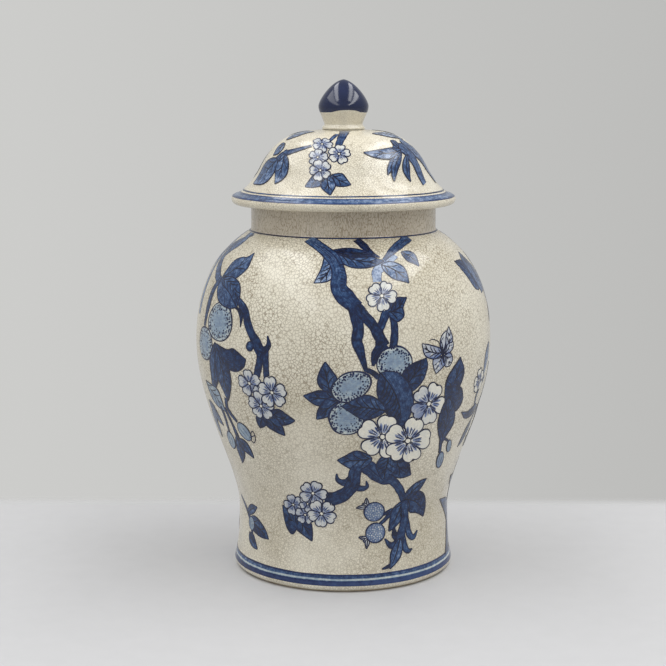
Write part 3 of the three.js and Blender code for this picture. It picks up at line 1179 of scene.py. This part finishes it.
def front_spray(azimuth, seed):
    """The main branch and all it carries. Each group starts at a level above what it overlaps."""
    spray = Spray(f"spray_{seed}", JAR, "jar", azimuth, seed)
    groups = (
        (upper_branch, 0), (lower_leaves, 0), (fruit_cluster, 14), (flower_pair, 28),
        (small_flowers, 5), (berry_twig, 5), (butterfly, 0),
    )
    for group, level in groups:
        spray.start_at(level)
        group(spray)
    spray.done()


def hanging_fruits(spray):
    """Two long fruits under a folded leaf, with the leaves and buds that hang below them."""
    spray.branch([(-48, 266), (-50, 240), (-50, 216), (-50, 196)], [6, 7, 8, 6], (0.2, 0.25), 2, 0.5)
    spray.branch(
        [(-26, 267), (-26, 257), (-34, 249), (-40, 240), (-31, 229), (-23, 224)],
        [8, 8, 7, 8, 8, 5], (0.35, 0.5), 2,
    )
    spray.fruit((-29, 178), 13, 12, 0, 90, 90)
    spray.fruit((-8.5, 196), 15.5, 13.6, 0, 80, 120)
    spray.branch([(-21, 227), (-27, 216), (-29, 204), (-31, 190)], [3, 6, 6, 3], (0.55, 0.65), 2)
    spray.blade(
        [(-20, 227), (-15, 240), (-7, 244.5), (-2, 245), (2.5, 249.5)],
        [(-20, 227), (-10, 225), (-1, 228.5), (5.5, 237), (2.5, 249.5)],
        shade=(0.55, 0.35), veins=2,
    )
    spray.blade(
        [(4, 208), (10, 206.5), (14, 201.5), (15.5, 195)],
        [(7, 209), (14, 206), (16.4, 201), (15.5, 195)],
        shade=(0.6, 0.7), veins=0,
    )
    spray.blade(
        [(-20, 226), (-15, 222), (-3, 217), (9, 208)],
        [(-20, 226), (-21, 219), (-14, 210), (0, 206.5), (9, 208)],
        shade=(0.4, 0.55), veins=0, rib=False,
    )
    for k in range(5):
        x = -17 + 4.2 * k
        high = 220.5 - 1.9 * k
        spray.stroke([(x, high), (x + 1.8, high - 5), (x + 4.5, high - 8.5)], 0.5, 0.6, shade=0.7)
    spray.blade(
        [(-20, 226), (-7, 228.5), (4, 225), (9, 217), (9, 208)],
        [(-20, 226), (-15, 222), (-3, 217), (9, 208)],
        shade=(0.45, 0.55), veins=5, rib=False,
    )
    spray.leaf((-12, 181), (-21, 144), 15, 3, (0.65, 0.55), 1)
    spray.leaf((-9, 178), (-2, 140), 17, 3, (0.65, 0.6), 3)
    spray.blade(
        [(-11, 180.5), (3, 178), (9.5, 179.5), (16.5, 176.5), (22, 173.5)],
        [(-11, 180.5), (-4, 173), (1, 167), (7, 164), (14.5, 164.5), (20.5, 168.5), (22, 173.5)],
        shade=(0.7, 0.85), veins=0, rib=False,
    )
    spray.leaf((-38, 134), (-19, 118), 9, 0, (0.35, 0.4), 0)
    spray.leaf((-36, 128), (-31, 106), 8, 0, (0.3, 0.35), 0)
    spray.blade(
        [(-34, 150), (-24, 149), (-13, 146), (-9, 131)],
        [(-34, 150), (-27, 138), (-19, 133), (-9, 131)],
        "pale", (0.35, 0.6), 4,
    )
    spray.branch([(-4, 142), (-5, 134), (3, 125)], [3, 2.8, 2.2], (0.65, 0.65), 0)
    spray.branch([(-14, 134), (-12, 126), (-12, 115)], [2.6, 2.4, 2], (0.6, 0.6), 0)
    spray.branch([(-9, 134), (-4, 122), (-2, 112)], [2, 2, 4], (0.6, 0.6), 0)
    spray.leaf((-2, 114), (-7, 90), 9, 1, (0.5, 0.6), 1)
    spray.leaf((-2, 111), (9.5, 97.5), 9, 1, (0.55, 0.6), 1)
    spray.bud((-13, 107.5), 5, 7, -8, 0.35)
    spray.bud((8, 118.3), 5.4, 7.4, 38, 0.35)
    spray.stroke([(12.2, 114.3), (17, 120.6), (17.8, 115), (14.7, 110.4), (12.2, 114.3)], 0.6, 0.9)
    spray.stroke([(12.2, 114.3), (19, 117.5)], 0.6, 0.9)


def thorny_branch(spray):
    """The thin thorned branch that carries a ball of small flowers."""
    spray.branch(
        [(6, 215), (12, 211), (18, 206), (21.5, 199), (26, 192), (30, 187), (34, 181), (37, 178)],
        [3, 4.4, 5.4, 5.4, 5.6, 6.8, 8, 6.6], (0.65, 0.75), 4,
    )
    spray.branch([(35, 181), (34, 173), (31, 163)], [6, 4.8, 5.2], (0.65, 0.7), 2)
    spray.branch([(38.4, 182), (39, 173), (39, 160)], [5, 4, 4.2], (0.65, 0.7), 2)
    spray.branch(
        [(33, 182.5), (37.5, 181.5), (41, 185), (39.6, 191.5)],
        [4.4, 4.2, 3.2, 0.6], (0.8, 0.85), 0,
    )
    spray.blob("wash", (25.6, 183), 3, 3.4, -20, None, 0.55, 0.2, 0.8, 4)
    spray.leaf((31, 136), (25, 124), 9, 0, (0.65, 0.75), 0)
    spray.leaf((36, 137), (55, 133), 11.5, -1, (0.65, 0.7), 2)
    spray.leaf((31, 135), (44, 120.5), 12, 1, (0.65, 0.75), 2)
    spray.flower((24, 157), 10, 100, 2, 0.38, 0.42)
    spray.flower((33, 150.5), 7, 150, 1, 0.36, 0.5)
    spray.flower((31, 141.5), 10.4, 234, 3, 0.38, 0.4)
    spray.flower((42, 152.5), 11, 20, 3, 0.38, 0.36)


def left_spray(azimuth, seed):
    """The branch that hangs beside the main one."""
    spray = Spray(f"spray_{seed}", JAR, "jar", azimuth, seed)
    hanging_fruits(spray)
    spray.start_at(8)
    thorny_branch(spray)
    spray.start_at(0)
    spray.branch([(-30, 58), (-22, 52), (-13, 42), (-10, 30)], [2, 2.6, 3, 1.6], (0.6, 0.6), 0)
    spray.leaf((-18, 47), (-3, 55), 7, 1, (0.5, 0.5), 1)
    spray.leaf((-15, 34), (-3, 24), 8, -1, (0.6, 0.6), 1)
    spray.leaf((-15, 44), (9, 34), 12, 1, (0.6, 0.7), 2)
    spray.bud((-12, 41), 4, 5, 10, 0.4)
    spray.done()


def right_spray(azimuth, seed):
    """A looser spray: a bundle of narrow leaves, a small flower on thin stems and one tall leaf."""
    spray = Spray(f"spray_{seed}", JAR, "jar", azimuth, seed)
    spray.branch([(72, 266), (64, 250), (58, 232), (52, 216), (56, 200)], [6, 8, 8, 9, 5], (0.5, 0.6), 3)
    spray.leaf((58, 226), (48, 243), 6, 1, (0.4, 0.4), 0)
    spray.blade(
        [(9, 240), (15, 229), (22, 218), (29, 215)],
        [(9, 240), (22, 239), (31, 229), (34, 217), (29, 215)],
        shade=(0.7, 0.5), veins=0,
    )
    spray.blade(
        [(28.5, 246), (22.5, 238), (27, 226), (36, 212)],
        [(28.5, 246), (36, 238), (46, 229), (52, 215), (36, 212)],
        shade=(0.6, 0.35), veins=2,
    )
    spray.leaf((57, 202), (48, 190), 7, 0, (0.7, 0.8), 0)
    spray.leaf((40, 176), (30, 153), 10, -2, (0.2, 0.15), 2)
    spray.branch([(34, 152), (22, 141), (23, 131)], [2, 2.2, 2.6], (0.45, 0.5), 0)
    spray.branch([(48, 160), (50, 146), (40, 132), (24, 118)], [3, 3, 3, 2], (0.45, 0.5), 0)
    spray.flower((20, 151), 9, 30, 3, 0.4)
    spray.blade(
        [(31, 130), (24, 124), (10, 124), (1, 130.5)],
        [(31, 130), (25, 132), (12, 129), (1, 130.5)],
        shade=(0.6, 0.75), veins=0,
    )
    spray.leaf((26, 119), (14, 100), 8, 1, (0.5, 0.6), 1)
    spray.berry((40, 104), 6, 200)
    spray.branch([(36, 130), (42, 118), (42, 110)], [2, 2, 1.6], (0.5, 0.5), 0)
    spray.branch([(46, 84), (42, 64), (38, 44), (30, 24)], [3, 4, 4, 2], (0.6, 0.6), 1)
    spray.leaf((40, 66), (24, 74), 8, 1, (0.5, 0.6), 1)
    spray.blade(
        [(38, 30), (30, 40), (22, 48), (11, 58)],
        [(38, 30), (40, 42), (30, 54), (11, 58)],
        shade=(0.6, 0.5), veins=2,
    )
    spray.blade(
        [(42, 40), (46, 30), (38, 18), (22, 14)],
        [(42, 40), (34, 32), (28, 22), (22, 14)],
        shade=(0.65, 0.55), veins=2,
    )
    spray.done()


def lid_spray(azimuth, seed):
    """On the lid: a twig of four small flowers, a leafy twig to its left and a curling one to its right."""
    spray = Spray(f"lid_spray_{seed}", LID, "lid", azimuth, seed, 0.1)
    spray.branch([(-4, 71), (-7, 64), (-11, 56)], [3, 2.6, 2], (0.5, 0.5), 0)
    spray.branch([(1, 82), (0, 70), (-2, 60), (-4, 52)], [7, 6, 5, 4], (0.6, 0.6), 2)
    spray.leaf((-12, 31), (-27, 20), 10, 1, (0.55, 0.5), 2)
    spray.leaf((-8, 30), (5, 22), 10, -1, (0.55, 0.5), 2)
    spray.leaf((-12, 30), (-9, 13), 10, 0, (0.5, 0.55), 2)
    spray.flower((-3, 46), 8, 80, 2, 0.4, 0.3)
    spray.flower((-15, 55), 7.4, 60, 1, 0.36, 0.45)
    spray.flower((-18, 43), 7, 10, 1, 0.36, 0.45)
    spray.flower((-16, 33), 8, 110, 2, 0.4, 0.4)
    spray.leaf((-50, 54), (-62, 43), 8, 0, (0.4, 0.5), 1)
    spray.leaf((-52, 58), (-24, 77), 9, 2, (0.2, 0.3), 3)
    spray.branch([(-23, 53), (-34, 49), (-47, 45)], [1.6, 2.6, 4], (0.6, 0.6), 0)
    spray.branch([(-44, 47), (-54, 40), (-62, 32)], [4, 5, 5], (0.55, 0.55), 1)
    spray.leaf((-47, 45), (-53, 21), 13, 2, (0.5, 0.4), 2)
    spray.leaf((-54, 40), (-84, 19), 17, 1, (0.5, 0.45), 3)
    spray.leaf((22, 71), (57, 58), 8, 2, (0.15, 0.25), 4)
    spray.branch([(50, 58), (60, 50), (80, 37), (96, 22)], [4, 8, 9, 8], (0.45, 0.5), 3)
    spray.branch([(38, 50), (48, 50), (60, 39), (68, 20)], [4, 8, 9, 6], (0.5, 0.55), 3)
    spray.leaf((46, 48), (14, 47), 9, 2, (0.5, 0.3), 2)
    spray.leaf((43, 43), (32, 29), 6, -2, (0.5, 0.55), 0)
    spray.leaf((46, 46), (37, 24), 7, -3, (0.5, 0.55), 0)
    spray.leaf((52, 44), (52, 23), 7, -3, (0.5, 0.55), 0)
    spray.leaf((44, 50), (37, 58), 5, -1, (0.5, 0.5), 0)
    spray.done()


jar_shell()
foot()
neck()
lid()
flange()
knob()
painted_bands()
for number, azimuth in enumerate((0, 180)):
    front_spray(azimuth, 11 + number)
    left_spray(azimuth - 50, 21 + number)
    right_spray(azimuth + 55, 31 + number)
    lid_spray(azimuth, 41 + number)


# ---------------------------------------------------------------- studio

FLOOR_REACH = 1.4
FLOOR_END = 0.145
FLOOR_LIGHT = linear(200, 200, 202)
FLOOR_DEEP = linear(195, 195, 197)
CAMERA_BACK = 1.150
CAMERA_HEIGHT = 0.361
CAMERA_TILT = 9.362
CAMERA_TURN = 0.375
CAMERA_LENS = 86.0


def floor():
    """A pale sheet that ends behind the jar and fades out far from it, so that it has no hard rim."""
    steps = 96
    points = [(0, 0, 0)]
    for k in range(steps):
        turn = math.tau * k / steps
        points.append((FLOOR_REACH * math.cos(turn), FLOOR_REACH * math.sin(turn), 0))
    faces = [(0, 1 + k, 1 + (k + 1) % steps) for k in range(steps)]
    mesh = bpy.data.meshes.new("floor")
    mesh.from_pydata(points, [], faces)
    recipe = Recipe("floor")
    back = recipe.node("ShaderNodeSeparateXYZ", {0: recipe.where}).outputs[1]
    away = recipe.node("ShaderNodeVectorMath", {0: recipe.where}, operation="LENGTH").outputs["Value"]
    colour = recipe.blend(recipe.noise(60, 2), FLOOR_LIGHT, FLOOR_DEEP)
    recipe.finish(colour, 0.6)
    clear = recipe.node("ShaderNodeBsdfTransparent").outputs[0]
    fade = recipe.ranged(back, FLOOR_END, FLOOR_END + 0.03)
    fade = recipe.sum("MAXIMUM", fade, recipe.ranged(away, 0.5 * FLOOR_REACH, FLOOR_REACH))
    mix = recipe.node("ShaderNodeMixShader", {0: fade, 1: recipe.shader.outputs[0], 2: clear})
    recipe.feed(recipe.tree.nodes["Material Output"].inputs["Surface"], mix.outputs[0])
    mesh.materials.append(recipe.material)
    made = bpy.data.objects.new("floor", mesh)
    bpy.context.scene.collection.objects.link(made)


def softbox(name, spot, lean, across, along, radiance):
    """A soft rectangular light that runs along Y and leans about it, given by how bright its face is."""
    data = bpy.data.lights.new(name, "AREA")
    data.shape = "RECTANGLE"
    data.size = across
    data.size_y = along
    data.energy = radiance * math.pi * across * along
    made = bpy.data.objects.new(name, data)
    bpy.context.scene.collection.objects.link(made)
    made.location = spot
    made.rotation_euler = (0, math.radians(lean), 0)
    made.visible_camera = False


def graded(tree, value, low, high, to_low, to_high):
    """A value between low and high, carried over to lie between to_low and to_high."""
    made = tree.nodes.new("ShaderNodeMapRange")
    tree.links.new(value, made.inputs["Value"])
    levels = {"From Min": low, "From Max": high, "To Min": to_low, "To Max": to_high}
    for key, level in levels.items():
        made.inputs[key].default_value = level
    return made.outputs[0]


def studio():
    """A pale surround, a little brighter to the left and in front, with two strips and two top lights."""
    world = bpy.data.worlds.new("studio")
    bpy.context.scene.world = world
    world.use_nodes = True
    tree = world.node_tree
    back = tree.nodes["Background"]
    direction = tree.nodes.new("ShaderNodeTexCoord").outputs["Generated"]
    split = tree.nodes.new("ShaderNodeSeparateXYZ")
    tree.links.new(direction, split.inputs[0])
    lighting = graded(tree, split.outputs[1], -0.9, 0.6, 0.94, 0.9)
    backdrop = graded(tree, split.outputs[0], -0.2, 0.2, 1.05, 0.88)
    seen = tree.nodes.new("ShaderNodeLightPath").outputs["Is Camera Ray"]
    mix = tree.nodes.new("ShaderNodeMix")
    mix.data_type = "FLOAT"
    tree.links.new(seen, mix.inputs[0])
    tree.links.new(lighting, mix.inputs[2])
    tree.links.new(backdrop, mix.inputs[3])
    tree.links.new(mix.outputs[0], back.inputs["Strength"])
    back.inputs["Color"].default_value = linear(200, 200, 198)
    softbox("left_strip", (-0.96, -0.9, 1.33), -42, 0.4, 2.8, 2.2)
    softbox("right_strip", (0.95, -0.9, 1.36), 42, 0.26, 2.8, 5.2)
    for side, hand in (("left", -1), ("right", 1)):
        softbox(f"{side}_top", (0.56 * hand, 0.05, 1.42), 12 * hand, 0.26, 1.7, 4.4)


def camera():
    data = bpy.data.cameras.new("camera")
    data.lens = CAMERA_LENS
    data.sensor_width = 36
    made = bpy.data.objects.new("camera", data)
    bpy.context.scene.collection.objects.link(made)
    made.location = (0, -CAMERA_BACK, CAMERA_HEIGHT)
    made.rotation_euler = (math.radians(90 - CAMERA_TILT), 0, math.radians(CAMERA_TURN))
    bpy.context.scene.camera = made


floor()
studio()
camera()
bpy.context.scene.view_settings.view_transform = "Standard"
